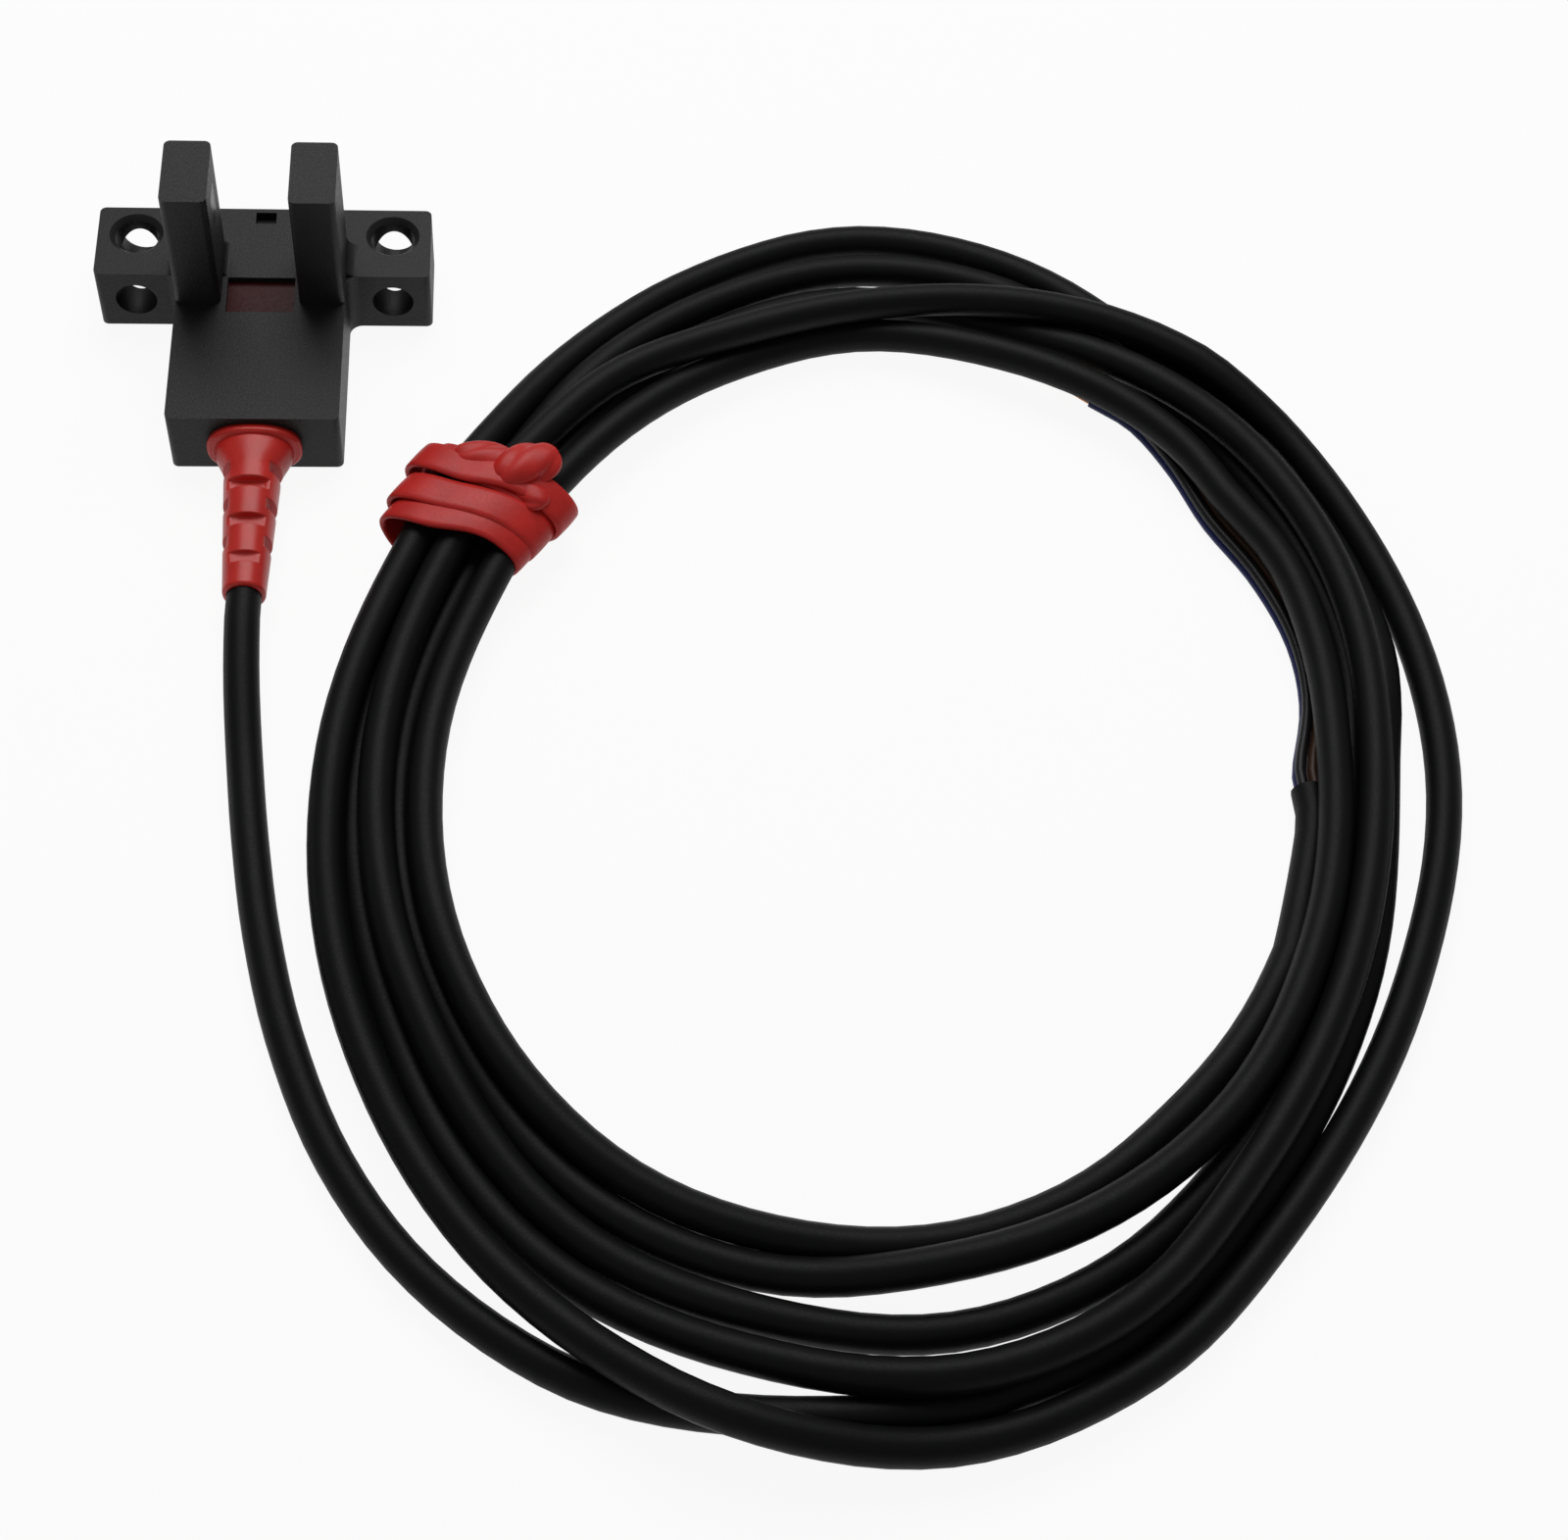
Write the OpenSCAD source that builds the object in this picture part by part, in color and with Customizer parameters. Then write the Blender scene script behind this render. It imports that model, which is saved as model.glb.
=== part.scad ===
// Fork sensor: a T-shaped slotted light sensor with a cable boot and a coiled, tied lead.
// Millimetres, +Z up. The fork stands up and the lead leaves towards -Y.
// The origin is midway between the two upright mounting holes, on the mounting face.

/* [Flange] */
// Width across the two wings
flange_w = 26; // [25:0.5:32]
// Depth of the wings, front to back
flange_d = 7.2; // [6.6:0.1:9]
// Height of the flange and of the body
flange_h = 5.6; // [5.4:0.1:7]
// From the end of a wing to the axes of its holes
hole_inset = 3; // [2.6:0.1:3.4]
// Diameter of the upright mounting holes
hole_d = 3.4; // [3:0.1:3.6]
// Bevel round the top of the upright holes
hole_bevel = 0.4; // [0.2:0.05:0.5]
// Diameter of the mounting holes that run front to back
cross_hole_d = 3.2; // [2.6:0.1:3.4]
// From the axis of the upright holes to the back edge
hole_back = 2.8; // [2.6:0.1:3.4]
// Radius of the upright corners
corner_r = 0.5; // [0.3:0.1:0.8]
// Width of the centre mark near the back edge
mark_w = 1.6; // [1:0.1:2.4]
// Length of the centre mark
mark_l = 1.2; // [0.8:0.1:1.6]
// Depth of the centre mark
mark_h = 0.7; // [0.4:0.1:0.9]
// Wall left between the centre mark and the back edge
mark_wall = 0.4; // [0.3:0.05:0.6]

/* [Body] */
// Width of the body and across the fork
body_w = 13; // [12.5:0.25:15]
// Length of the body in front of the flange
body_l = 14.6; // [13.6:0.2:20]
// Radius of the upright fillets between the wings and the body
wing_r = 1; // [0.4:0.1:1.4]
// Thickness of the side and front walls
wall = 1.1; // [0.9:0.05:1.3]
// Thickness of the roof
roof = 1.2; // [1:0.1:1.4]
// Thickness of the bottom cover
cover_t = 1; // [0.8:0.1:1.2]

/* [Fork] */
// Width of the slot between the arms
slot_w = 6; // [5:0.25:6.5]
// Depth of the arms, front to back
arm_d = 6.4; // [5.8:0.1:7.5]
// Height of the arms above the slot floor
arm_h = 10.9; // [9:0.1:14]
// How far the arms stand in front of the flange
arm_lead = 3; // [2:0.1:4]
// Thickness of the wall on the slot side of an arm
arm_wall = 0.9; // [0.7:0.05:1.1]
// Radius of the fillets at the roots of the arms
root_r = 0.9; // [0.4:0.1:1.2]
// From the tip of an arm down to the light axis
axis_drop = 3.5; // [3.2:0.1:5]
// Width of the windows in the slot walls
window_w = 2; // [1.4:0.1:2.6]
// Height of the windows in the slot walls
window_h = 2.8; // [2:0.1:3.4]

/* [Indicator] */
// Width of the indicator lens
lens_w = 5.2; // [4:0.1:5.4]
// Length of the indicator lens
lens_l = 3.6; // [2.6:0.1:4]
// How far the lens lies below the top face
lens_drop = 0.5; // [0.2:0.1:0.8]
// Strip of roof between the slot floor and the lens
lens_gap = 0.2; // [0.1:0.1:0.6]

/* [Cable and boot] */
// Diameter of the cable
cable_d = 2.6; // [2.2:0.1:2.8]
// Length of the boot outside the body
boot_l = 14.5; // [12:0.5:18]
// Width of the boot's collar
collar_w = 6.8; // [6:0.1:8]
// Height of the boot's collar
collar_h = 4.8; // [4.4:0.1:5]
// Thickness of the collar's rim
collar_t = 0.8; // [0.5:0.1:1.2]
// Length of the dome behind the rim
dome_l = 2.2; // [1.6:0.1:3]
// Width of the dome at the rim
dome_w = 5.4; // [5:0.1:6]
// Diameter of the stem where it leaves the dome
stem_d1 = 4.3; // [3.8:0.1:4.6]
// Diameter of the stem at its end
stem_d2 = 3.2; // [3.1:0.1:3.8]
// Width of the windows in the stem
rib_gap = 0.9; // [0.6:0.1:1.2]
// Distance from one window to the next on the same side
rib_pitch = 3.4; // [3:0.1:3.6]

/* [Coil] */
// Height of the coil
coil_h = 5; // [4.6:0.1:8]
// Width of the whole tie along the bundle
tie_w = 8.6; // [5:0.2:9]
// Thickness of the tie's strip
tie_t = 0.6; // [0.4:0.1:1]
// Diameter of one free core
core_d = 0.85; // [0.7:0.05:0.9]
// Length of the bare tip of a free core
tip_l = 5; // [3:0.5:8]

/* [Hidden] */
$fn = 48;
slack = 0.2;

hole_pitch = flange_w - 2 * hole_inset;
flange_front = hole_back - flange_d;
mark_back = hole_back - mark_wall;
body_front = flange_front - body_l;
arm_front = flange_front - arm_lead;
arm_back = arm_front + arm_d;
arm_mid = (arm_front + arm_back) / 2;
arm_top = flange_h + arm_h;
light_z = arm_top - axis_drop;
ceiling = flange_h - roof;

cav_x = body_w / 2 - wall;
cav_front = body_front + wall;
cav_back = arm_back - slack;
arm_in_x = slot_w / 2 + arm_wall;

// The board and what stands on it
board_t = 0.7;
board_z = cover_t + slack;
board_top = board_z + board_t;
board_x = cav_x - slack;
board_back = cav_back - slack;
post_d = 1.4;
pin_d = 1;
pin_x = board_x - 0.6;
pin_y = arm_front - 3.2;

// Light parts in the arms
part_w = 3;
part_h = 4;
part_t = cav_x - arm_in_x - slack;
lead_w = 0.45;
lead_t = 0.4;
lead_pitch = 1.8;

// The lens and its lip under the roof
lens_back = flange_front - lens_gap;
lens_front = lens_back - lens_l;
lens_mid = (lens_front + lens_back) / 2;
lens_lip = 0.4;
lip_t = 0.5;

// The cable line through the front wall
cable_r = cable_d / 2;
cable_z = (cover_t + ceiling) / 2;
neck_w = cable_d + 2;
neck_h = 2 * (ceiling - cable_z);
boot_flange_t = 0.8;
boot_flange_w = neck_w + 1.6;
boot_end = body_front - boot_l;
anchor_l = 1.5;
anchor_slack = 0.05;
anchor_front = cav_front + boot_flange_t;
stub_end = anchor_front + anchor_l + 0.6;
board_front = stub_end + 0.8;
inner_core_off = min(0.42, (cable_z - board_top) / 2);
inner_core_d = 1.8 * inner_core_off;

// The stem's windows stop short of the cable
rib_floor = cable_r + 0.18;
stem_front = body_front - collar_t - dome_l;
dome_mid = stem_front + 0.6 * dome_l;
dome_h = collar_h - 0.4;
rib_count = 3;

// The coil on the floor: how far its outer and inner edges lie from its middle, every 30 degrees from +X
coil_mid = [47.2, -46.9];
coil_outer = [41.6, 44, 48.6, 52.2, 46.8, 41.2, 41.2, 44.2, 50.4, 51.8, 45, 41.2];
coil_inner = [31.4, 35, 38.4, 38.8, 34.4, 32.8, 32.6, 34.4, 37, 37.2, 34, 31.2];
coil_steps = 72;
coil_bevel = 1.4;
tie_angle = 144.5;
tie_core_w = 8.2;
tie_core_z0 = tie_t + 0.1;
tie_core_z1 = coil_h - 0.5;
tie_wraps = 3;
tie_band_gap = 0.3;
knot_d = 4.4;
knot_h = 1.7;

// Routes chosen by hand. The tail leaves the boot, sinks to the floor and joins the coil.
tail_route = [
  [0, -33.5, 2.7], [0, -36, 2.7], [0.2, -41, 2.1], [0.7, -47, 1.4], [1.5, -54, 1.3], [2.7, -61.5, 1.3],
  [4.7, -69.5, 1.3], [8, -77.8, 1.3], [12.8, -85, 1.3], [19, -90.6, 1.3], [26, -94.3, 1.3],
  [32.5, -95.4, 1.3], [39, -94.6, 1.3]
];
// The last stretch of the jacket leaves the coil on its inner side.
end_route = [
  [50.5, -84.8, 1.3], [57.2, -81, 1.3], [63.2, -75.8, 1.3], [68.4, -69.6, 1.3], [72.6, -62.6, 1.3],
  [75.6, -56, 1.3], [76.4, -52, 1.3], [76.4, -50, 1.3]
];
// The free cores run on from its cut end along the inside of the coil.
core_route = [
  [76.4, -50, 1.3], [76.4, -48, 1.3], [77.6, -42.6, 1.1], [77.8, -36.4, 1], [76.1, -30.2, 1],
  [73.4, -25, 1], [70.5, -20.4, 1], [67.4, -16.9, 1], [64.4, -14.4, 1]
];
// Each core: its place in the jacket, then beside the route, and how many points it follows.
core_places = [[0.46, -0.46], [-0.46, -0.46], [0.46, 0.46], [-0.46, 0.46]];
core_lay = [[0.62, -0.5], [-0.3, -0.5], [0.26, 0.36], [-0.62, 0.36]];
core_points = [9, 8, 9, 8];

// Shared shapes

module box(lo, hi) translate(lo) cube(hi - lo);

// A box with rounded upright edges
module rounded_box(lo, hi, r) {
  box([lo.x + r, lo.y, lo.z], [hi.x - r, hi.y, hi.z]);
  box([lo.x, lo.y + r, lo.z], [hi.x, hi.y - r, hi.z]);
  for (x = [lo.x + r, hi.x - r], y = [lo.y + r, hi.y - r])
    translate([x, y, lo.z]) cylinder(h = hi.z - lo.z, r = r);
}

// A rod along Y
module rod(from_y, to_y, d1, d2) translate([0, from_y, 0]) rotate([-90, 0, 0])
  cylinder(h = to_y - from_y, d1 = d1, d2 = d2);

module both_sides() {
  children();
  mirror([1, 0, 0]) children();
}

// A concave fillet along Y in the corner of the planes x = 0 and z = 0
module corner_fillet(from_y, to_y, r) difference() {
  box([-0.1, from_y, -0.1], [r, to_y, r]);
  translate([r, 0, r]) rod(from_y - 1, to_y + 1, 2 * r, 2 * r);
}

// A part that stands on the board
module chip(size, at) translate([at.x - size.x / 2, at.y - size.y / 2, board_top]) cube(size);

function unit(v) = v / norm(v);
function ahead(p, i) = unit(p[min(i + 1, len(p) - 1)] - p[max(i - 1, 0)]);
function across(p, i) = unit(cross(ahead(p, i), [0, 0, 1]));

// A round tube along a route
module tube(route, d, sides = 8) {
  n = len(route);
  points = [for (i = [0 : n - 1], k = [0 : sides - 1])
    let (t = ahead(route, i), s = across(route, i), u = cross(s, t), a = 360 * (k + 0.5) / sides)
    route[i] + d / 2 * (cos(a) * s + sin(a) * u)];
  walls = [for (i = [0 : n - 2], k = [0 : sides - 1])
    let (j = (k + 1) % sides)
    [i * sides + k, i * sides + j, (i + 1) * sides + j, (i + 1) * sides + k]];
  ends = [[for (k = [sides - 1 : -1 : 0]) k], [for (k = [0 : sides - 1]) (n - 1) * sides + k]];
  polyhedron(points, concat(walls, ends), convexity = 6);
}

// Housing and cover

module arm() rounded_box([slot_w / 2, arm_front, ceiling], [body_w / 2, arm_back, arm_top], corner_r);

module arm_fillets() {
  translate([body_w / 2, 0, flange_h]) corner_fillet(flange_front, arm_back, root_r);
  translate([slot_w / 2, 0, flange_h]) mirror([1, 0, 0]) corner_fillet(flange_front, arm_back, root_r / 2);
}

module wing_fillets() translate([body_w / 2, flange_front, 0]) rotate([90, 0, 0])
  corner_fillet(0, flange_h, wing_r);

module window_block(from_x, to_x) box(
  [from_x, arm_mid - window_w / 2, light_z - window_h / 2],
  [to_x, arm_mid + window_w / 2, light_z + window_h / 2]);

module mounting_holes() translate([hole_pitch / 2, 0, 0]) {
  translate([0, 0, -1]) cylinder(h = flange_h + 2, d = hole_d);
  translate([0, 0, flange_h - hole_bevel])
    cylinder(h = 2 * hole_bevel, d1 = hole_d, d2 = hole_d + 4 * hole_bevel);
  translate([0, 0, flange_h / 2]) rod(flange_front - 1, hole_back + 1, cross_hole_d, cross_hole_d);
}

module housing() color([0.07, 0.07, 0.075]) {
  difference() {
    union() {
      rounded_box([-flange_w / 2, flange_front, 0], [flange_w / 2, hole_back, flange_h], corner_r);
      rounded_box([-body_w / 2, body_front, 0], [body_w / 2, 0, flange_h], corner_r);
      both_sides() arm();
      both_sides() arm_fillets();
      both_sides() wing_fillets();
    }
    box([-cav_x, cav_front, -1], [cav_x, cav_back, ceiling]);
    both_sides() {
      box([arm_in_x, arm_front + arm_wall, cover_t], [cav_x, arm_back - arm_wall, arm_top - arm_wall]);
      window_block(slot_w / 2 - 1, arm_in_x + 0.1);
      mounting_holes();
    }
    box([-lens_w / 2, lens_front, ceiling - 1], [lens_w / 2, lens_back, flange_h + 1]);
    box([-neck_w / 2, body_front - 1, cable_z - neck_h / 2], [neck_w / 2, cav_front + 1, ceiling]);
    box([-mark_w / 2, mark_back - mark_l, flange_h - mark_h], [mark_w / 2, mark_back, flange_h + 1]);
  }
  both_sides() translate([pin_x, pin_y, board_top]) cylinder(h = ceiling - board_top + 0.1, d = pin_d);
}

module bottom_cover() color([0.09, 0.09, 0.1]) {
  box([-cav_x, cav_front, 0], [cav_x, cav_back, cover_t]);
  for (y = [board_front + 1, board_back - 1]) both_sides() translate([board_x - 1, y, cover_t / 2])
    cylinder(h = board_z - cover_t / 2, d = post_d);
}

module indicator_lens() color([0.45, 0.04, 0.05]) {
  box([-lens_w / 2, lens_front, ceiling - lip_t], [lens_w / 2, lens_back, flange_h - lens_drop]);
  box([-lens_w / 2 - lens_lip, lens_front - lens_lip, ceiling - lip_t],
    [lens_w / 2 + lens_lip, lens_back + lens_lip, ceiling]);
}

// Light parts: the emitter is in the left arm and the receiver in the right one

module window() window_block(slot_w / 2, arm_in_x);

module light_part() box(
  [arm_in_x, arm_mid - part_w / 2, light_z - part_h / 2],
  [arm_in_x + part_t, arm_mid + part_w / 2, light_z + part_h / 2]);

module lead(side) translate([arm_in_x + part_t / 2, arm_mid + side * lead_pitch / 2, 0]) box(
  [-lead_t / 2, -lead_w / 2, board_top], [lead_t / 2, lead_w / 2, light_z - part_h / 2]);

module emitter_window() color([0.1, 0.04, 0.08]) mirror([1, 0, 0]) window();
module receiver_window() color([0.1, 0.04, 0.08]) window();
module emitter() color([0.2, 0.15, 0.3]) mirror([1, 0, 0]) light_part();
module receiver() color([0.08, 0.08, 0.09]) light_part();
module emitter_lead_a() color([0.75, 0.75, 0.76]) mirror([1, 0, 0]) lead(-1);
module emitter_lead_b() color([0.75, 0.75, 0.76]) mirror([1, 0, 0]) lead(1);
module receiver_lead_a() color([0.75, 0.75, 0.76]) lead(-1);
module receiver_lead_b() color([0.75, 0.75, 0.76]) lead(1);

// Circuit board and its parts

module circuit_board() color([0.1, 0.35, 0.18])
  box([-board_x, board_front, board_z], [board_x, board_back, board_top]);

module indicator_light() color([0.9, 0.85, 0.7]) chip([1.6, 0.8, 0.6], [0, lens_mid]);
module amplifier_chip() color([0.1, 0.1, 0.11]) chip([3, 2.6, 0.9], [0, board_back - 1.6]);
module output_transistor() color([0.1, 0.1, 0.11]) chip([1.5, 2.4, 1], [2.4, pin_y]);
module capacitor() color([0.6, 0.45, 0.3]) chip([1, 1.8, 0.8], [-2.6, pin_y]);
module resistor_a() color([0.12, 0.12, 0.13]) chip([0.8, 1.6, 0.5], [3.2, board_front + 1.6]);
module resistor_b() color([0.12, 0.12, 0.13]) chip([0.8, 1.6, 0.5], [-3.2, board_front + 1.6]);
module resistor_c() color([0.12, 0.12, 0.13]) chip([1.6, 0.8, 0.5], [-2.6, lens_mid]);

// Boot and the cable line through it

module collar(from_y, to_y) translate([0, 0, cable_z]) {
  both_sides() translate([(collar_w - collar_h) / 2, 0, 0]) rod(from_y, to_y, collar_h, collar_h);
  box([-(collar_w - collar_h) / 2, from_y, -collar_h / 2], [(collar_w - collar_h) / 2, to_y, collar_h / 2]);
}

// The dome between the rim and the stem, no higher than the collar
module dome() intersection() {
  union() {
    rod(stem_front, dome_mid, stem_d1, 0.92 * dome_w);
    rod(dome_mid, body_front, 0.92 * dome_w, dome_w);
  }
  box([-dome_w, stem_front - 1, -dome_h / 2], [dome_w, body_front, dome_h / 2]);
}

// Windows on two opposite sides of the stem, in steps along it
module stem_windows(first_y) for (i = [0 : rib_count - 1], s = [0, 180])
  translate([0, first_y - i * rib_pitch, 0]) rotate([0, s, 0])
    box([-stem_d1, -rib_gap / 2, rib_floor], [stem_d1, rib_gap / 2, stem_d1]);

module cable_boot() color([0.8, 0.12, 0.1]) difference() {
  union() {
    box([-boot_flange_w / 2, cav_front, cover_t], [boot_flange_w / 2, cav_front + boot_flange_t, ceiling]);
    box([-neck_w / 2, body_front - 0.1, cable_z - neck_h / 2], [neck_w / 2, cav_front + 0.1, ceiling]);
    collar(body_front - collar_t, body_front);
    translate([0, 0, cable_z]) {
      dome();
      rod(boot_end, stem_front + 0.1, stem_d2, stem_d1);
    }
  }
  translate([0, 0, cable_z]) {
    rod(boot_end - 1, cav_front + boot_flange_t + 1, cable_d, cable_d);
    stem_windows(stem_front - rib_pitch / 2);
    rotate([0, 90, 0]) stem_windows(stem_front);
  }
}

// A plate on the cable that holds it behind the boot
module cable_anchor() color([0.7, 0.7, 0.72]) difference() {
  box([-boot_flange_w / 2, anchor_front, cover_t + anchor_slack],
    [boot_flange_w / 2, anchor_front + anchor_l, ceiling - anchor_slack]);
  translate([0, 0, cable_z]) rod(anchor_front - 1, anchor_front + anchor_l + 1, cable_d, cable_d);
}

module cable_stub() color([0.06, 0.06, 0.065]) translate([0, 0, cable_z])
  rod(boot_end, stub_end, cable_d, cable_d);

// A core from the jacket to a foot on the board
module inner_core(side, level, reach) translate([side * inner_core_off, 0, cable_z + level * inner_core_off]) {
  rod(stub_end, stub_end + reach, inner_core_d, inner_core_d);
  box([-0.25, stub_end + reach - 0.5, board_top - cable_z - level * inner_core_off],
    [0.25, stub_end + reach, 0]);
}

module inner_core_a() color([0.1, 0.2, 0.7]) inner_core(-1, -1, 2);
module inner_core_b() color([0.9, 0.9, 0.9]) inner_core(1, -1, 2);
module inner_core_c() color([0.05, 0.05, 0.05]) inner_core(-1, 1, 3.4);
module inner_core_d() color([0.35, 0.18, 0.1]) inner_core(1, 1, 3.4);

// Lead: tail, coil, tie and far end

// A smooth value round the coil between the values in a list
function lap(list, i) = list[(i + len(list)) % len(list)];
function curve(p, t) = p[1] + t / 2 * (p[2] - p[0]
  + t * (2 * p[0] - 5 * p[1] + 4 * p[2] - p[3] + t * (3 * (p[1] - p[2]) + p[3] - p[0])));
function edge_at(list, a) =
  let (u = a * len(list) / 360, i = floor(u)) curve([for (k = [-1 : 2]) lap(list, i + k)], u - i);
function ring_at(a, share) =
  coil_mid + ((1 - share) * edge_at(coil_inner, a) + share * edge_at(coil_outer, a)) * [cos(a), sin(a)];

module ring() {
  edge = 0.16;
  section = [[0, coil_bevel], [edge, 0], [1 - edge, 0], [1, coil_bevel],
    [1, coil_h - coil_bevel], [1 - edge, coil_h], [edge, coil_h], [0, coil_h - coil_bevel]];
  m = len(section);
  points = [for (i = [0 : coil_steps - 1], q = section)
    let (p = ring_at(360 * i / coil_steps, q.x)) [p.x, p.y, q.y]];
  faces = [for (i = [0 : coil_steps - 1], k = [0 : m - 1])
    let (ii = (i + 1) % coil_steps, j = (k + 1) % m)
    [i * m + k, i * m + j, ii * m + j, ii * m + k]];
  polyhedron(points, faces, convexity = 6);
}

tie_at = ring_at(tie_angle, 0.5);
tie_along = ring_at(tie_angle - 2, 0.5) - ring_at(tie_angle + 2, 0.5);
tie_turn = atan2(tie_along.y, tie_along.x);
module at_tie() translate([tie_at.x, tie_at.y, 0]) rotate([0, 0, tie_turn]) children();

module tie_core(long) box([-long / 2, -tie_core_w / 2, tie_core_z0], [long / 2, tie_core_w / 2, tie_core_z1]);

// One band of strip round the bundle, as a rounded sleeve along X
module band(from_x, to_x, t) translate([from_x, 0, 0]) rotate([0, 90, 0]) rounded_box(
  [-tie_core_z1 - t, -tie_core_w / 2 - t, 0],
  [-tie_core_z0 + min(t, tie_core_z0), tie_core_w / 2 + t, to_x - from_x], t);

module cable_coil() color([0.06, 0.06, 0.065]) union() {
  difference() {
    ring();
    at_tie() box([-tie_w / 2, -coil_h * 2, -1], [tie_w / 2, coil_h * 2, coil_h + 1]);
  }
  at_tie() tie_core(tie_w + 1);
}

module coil_tie() color([0.82, 0.12, 0.1]) at_tie() difference() {
  union() {
    band(-tie_w / 2, tie_w / 2, tie_t - 0.2);
    for (i = [0 : tie_wraps - 1])
      let (step = tie_w / tie_wraps)
      band(-tie_w / 2 + i * step, -tie_w / 2 + (i + 1) * step - tie_band_gap, tie_t);
    translate([tie_w / 2 - knot_d / 2, -tie_core_w / 4, tie_core_z1])
      cylinder(h = knot_h, d1 = knot_d, d2 = knot_d * 0.7);
  }
  tie_core(tie_w + 2);
}

module cable_tail() color([0.06, 0.06, 0.065]) difference() {
  tube(tail_route, cable_d);
  ring();
}

module cable_end() color([0.06, 0.06, 0.065]) difference() {
  tube(end_route, cable_d);
  ring();
}

// A core's place beside the shared route; it leaves the jacket and spreads over the first points
function core_shift(k, i) = let (f = min(1, max(0, i - 1) / 3)) (1 - f) * core_places[k] + f * core_lay[k];
function core_points_of(k) = [for (i = [0 : core_points[k] - 1])
  let (q = core_shift(k, i)) core_route[i] - q.x * across(core_route, i) + [0, 0, q.y]];

module free_core(k) tube(core_points_of(k), core_d);
module free_tip(k) {
  p = core_points_of(k);
  n = len(p) - 1;
  tube([p[n], p[n] + tip_l * ahead(p, n)], core_d * 0.6);
}

module core_blue() color([0.08, 0.15, 0.6]) free_core(0);
module core_white() color([0.88, 0.88, 0.86]) free_core(1);
module core_black() color([0.05, 0.05, 0.05]) free_core(2);
module core_brown() color([0.32, 0.16, 0.08]) free_core(3);
module tip_blue() color([0.75, 0.6, 0.45]) free_tip(0);
module tip_white() color([0.75, 0.6, 0.45]) free_tip(1);
module tip_black() color([0.75, 0.6, 0.45]) free_tip(2);
module tip_brown() color([0.75, 0.6, 0.45]) free_tip(3);

housing();
bottom_cover();
indicator_lens();
emitter_window();
receiver_window();
emitter();
emitter_lead_a();
emitter_lead_b();
receiver();
receiver_lead_a();
receiver_lead_b();
circuit_board();
indicator_light();
amplifier_chip();
output_transistor();
capacitor();
resistor_a();
resistor_b();
resistor_c();
cable_boot();
cable_anchor();
cable_stub();
inner_core_a();
inner_core_b();
inner_core_c();
inner_core_d();
cable_tail();
cable_coil();
coil_tie();
cable_end();
core_blue();
core_white();
core_black();
core_brown();
tip_blue();
tip_white();
tip_black();
tip_brown();
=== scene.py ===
"""Fork sensor with a coiled lead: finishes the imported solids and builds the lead, its tie and its boot round them."""
import math

import bmesh
import bpy
import numpy as np
from mathutils import Matrix, Vector


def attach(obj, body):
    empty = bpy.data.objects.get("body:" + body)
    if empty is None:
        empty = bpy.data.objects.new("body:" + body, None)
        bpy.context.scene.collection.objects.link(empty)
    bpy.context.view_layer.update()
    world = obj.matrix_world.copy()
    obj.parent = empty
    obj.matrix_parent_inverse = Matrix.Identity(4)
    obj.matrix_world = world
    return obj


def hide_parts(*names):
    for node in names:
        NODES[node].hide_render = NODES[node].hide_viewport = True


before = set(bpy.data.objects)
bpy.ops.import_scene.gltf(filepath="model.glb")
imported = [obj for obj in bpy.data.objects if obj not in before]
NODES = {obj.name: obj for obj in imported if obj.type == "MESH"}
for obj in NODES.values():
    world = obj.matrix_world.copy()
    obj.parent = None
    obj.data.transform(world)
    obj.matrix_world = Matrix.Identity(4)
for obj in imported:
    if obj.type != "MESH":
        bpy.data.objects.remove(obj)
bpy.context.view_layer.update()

bl_info = {
    "name": "Fork Sensor",
    "version": (1, 0, 0),
    "blender": (4, 5, 0),
    "location": "View3D > Sidebar > Fork Sensor",
    "description": "Builds a small slotted light-barrier sensor with a moulded boot and a coiled four-core lead",
    "category": "Object",
}

MM = 0.001

# Picture frame and the place of the camera, in millimetres
PICTURE = (1600, 1571)
CAMERA_AT = Vector((22.86, -156.74, 166.12))
CAMERA_AIM = Vector((39.15, -47.14, 0.0))
CAMERA_ROLL = 0.1183
CAMERA_REACH = 2814.1  # focal length in picture points
CAMERA_CLIP = (0.01, 20)  # metres
SENSOR_WIDTH = 36.0

# The lamps' places and sizes, in millimetres
KEY_LAMP = ((30, 140, 260), 220)
FILL_LAMP = ((-60, -260, 160), 180)
# The floor, in metres, and the share of plain white in it where it is looked at or mirrored
FLOOR_HALF = 3.0
FLOOR_DROP = 0.00005
FLOOR_GLOW = 0.92

# The boot, in millimetres along Y from the housing's front wall to the lead
BOOT_AXIS_Z = 2.7
BOOT_FRONT = -19.0
BOOT_END = -33.5
BOOT_RIM = (3.6, 2.45)  # half width and half height
RIM_DEPTH = 0.8
RIM_ROUND = 0.35
RIM_SINK = 0.05  # how far the rim starts inside the wall
RIM_BACK = 0.97  # share of the rim's size there
DOME_DROP = 0.3  # how much lower than the rim the dome is at least
DOME_FLARE = 0.9
STEM_START = -22.4
END_ROUND = 0.3
# Squareness of the boot's section: 2 is an ellipse
RIM_SQUARE, DOME_SQUARE, STEM_SQUARE = 2.4, 2.1, 2.2
SLOT_PITCH = 3.4
SLOT_COUNT = 3
SLOT_WIDTH = 0.9
SLOT_FIRST = (-24.2, -22.5)  # above and below, then at the sides
SLOT_FLOOR = 1.36
SLOT_EDGE = 0.1

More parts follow.
